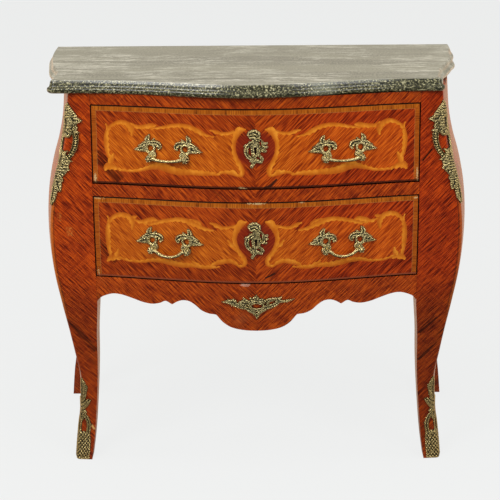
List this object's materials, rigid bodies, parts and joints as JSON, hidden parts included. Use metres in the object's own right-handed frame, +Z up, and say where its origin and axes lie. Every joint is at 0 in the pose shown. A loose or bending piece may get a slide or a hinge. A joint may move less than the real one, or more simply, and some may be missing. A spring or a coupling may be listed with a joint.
{
  "type": "commode chest",
  "caption": "Bombe commode chest with a serpentine front, cabriole legs, drawers with bail pulls and locks, brass mounts and a loose marble top.",
  "frame": {"origin": "centre of the bounding box on the floor, under the middle of the chest", "axes": "+X to the right seen from the front, +Y to the back, +Z up; the drawers open towards -Y"},
  "size_m": [0.888, 0.4614, 0.8],
  "materials": {
    "veneer": "polished reddish straight-grain veneer with lighter inlaid scrolls and crossbanding",
    "inner_wood": "plain unpolished secondary wood",
    "marble": "polished dark grey-green stone with pale veins",
    "brass": "cast brass, old gilding with dark recesses",
    "lock_steel": "plain worn steel"
  },
  "bodies": {
    "carcass": {"marble_top": "marble", "top_panel": "inner_wood", "top_rail": "veneer", "middle_rail": "veneer", "apron": "veneer", "front_post_right": "veneer", "front_post_left": "veneer", "rear_post_right": "veneer", "rear_post_left": "veneer", "side_panel_right": "veneer", "side_panel_left": "veneer", "back_panel": "inner_wood", "bottom_panel": "inner_wood", "dust_panel": "inner_wood", "upper_runner_right": "inner_wood", "upper_runner_left": "inner_wood", "lower_runner_right": "inner_wood", "lower_runner_left": "inner_wood", "corner_mount_right": "brass", "corner_mount_left": "brass", "sabot_right": "brass", "sabot_left": "brass", "apron_mount": "brass"},
    "upper_drawer": {"upper_drawer_front": "veneer", "upper_drawer_side_right": "inner_wood", "upper_drawer_side_left": "inner_wood", "upper_drawer_back": "inner_wood", "upper_drawer_bottom": "inner_wood", "upper_lock_case": "lock_steel", "upper_escutcheon": "brass", "upper_plate_outer_right": "brass", "upper_plate_outer_left": "brass", "upper_plate_inner_right": "brass", "upper_plate_inner_left": "brass", "upper_nut_outer_right": "brass", "upper_nut_outer_left": "brass", "upper_nut_inner_right": "brass", "upper_nut_inner_left": "brass"},
    "lower_drawer": {"lower_drawer_front": "veneer", "lower_drawer_side_right": "inner_wood", "lower_drawer_side_left": "inner_wood", "lower_drawer_back": "inner_wood", "lower_drawer_bottom": "inner_wood", "lower_lock_case": "lock_steel", "lower_escutcheon": "brass", "lower_plate_outer_right": "brass", "lower_plate_outer_left": "brass", "lower_plate_inner_right": "brass", "lower_plate_inner_left": "brass", "lower_nut_outer_right": "brass", "lower_nut_outer_left": "brass", "lower_nut_inner_right": "brass", "lower_nut_inner_left": "brass"},
    "upper_bolt": {"upper_lock_bolt": "lock_steel"},
    "lower_bolt": {"lower_lock_bolt": "lock_steel"},
    "upper_pull_right": {"upper_bail_right": "brass"},
    "upper_pull_left": {"upper_bail_left": "brass"},
    "lower_pull_right": {"lower_bail_right": "brass"},
    "lower_pull_left": {"lower_bail_left": "brass"}
  },
  "joints": [
    {"name": "upper_drawer_slide", "type": "slide", "parent": "carcass", "child": "upper_drawer", "axis": [0, -1, 0], "range_m": [0, 0.28]},
    {"name": "lower_drawer_slide", "type": "slide", "parent": "carcass", "child": "lower_drawer", "axis": [0, -1, 0], "range_m": [0, 0.28]},
    {"name": "upper_bolt_slide", "type": "slide", "parent": "upper_drawer", "child": "upper_bolt", "axis": [0, 0, 1], "range_m": [0, 0.007]},
    {"name": "lower_bolt_slide", "type": "slide", "parent": "lower_drawer", "child": "lower_bolt", "axis": [0, 0, 1], "range_m": [0, 0.007]},
    {"name": "upper_pull_right_hinge", "type": "hinge", "parent": "upper_drawer", "child": "upper_pull_right", "pos_m": [0.16981, -0.20435, 0.655], "axis": [-0.9777, -0.21, 0], "range_deg": [-8, 110]},
    {"name": "upper_pull_left_hinge", "type": "hinge", "parent": "upper_drawer", "child": "upper_pull_left", "pos_m": [-0.16981, -0.20435, 0.655], "axis": [-0.9777, 0.21, 0], "range_deg": [-8, 110]},
    {"name": "lower_pull_right_hinge", "type": "hinge", "parent": "lower_drawer", "child": "lower_pull_right", "pos_m": [0.16981, -0.21711, 0.475], "axis": [-0.9777, -0.21, 0], "range_deg": [-8, 110]},
    {"name": "lower_pull_left_hinge", "type": "hinge", "parent": "lower_drawer", "child": "lower_pull_left", "pos_m": [-0.16981, -0.21711, 0.475], "axis": [-0.9777, 0.21, 0], "range_deg": [-8, 110]}
  ]
}
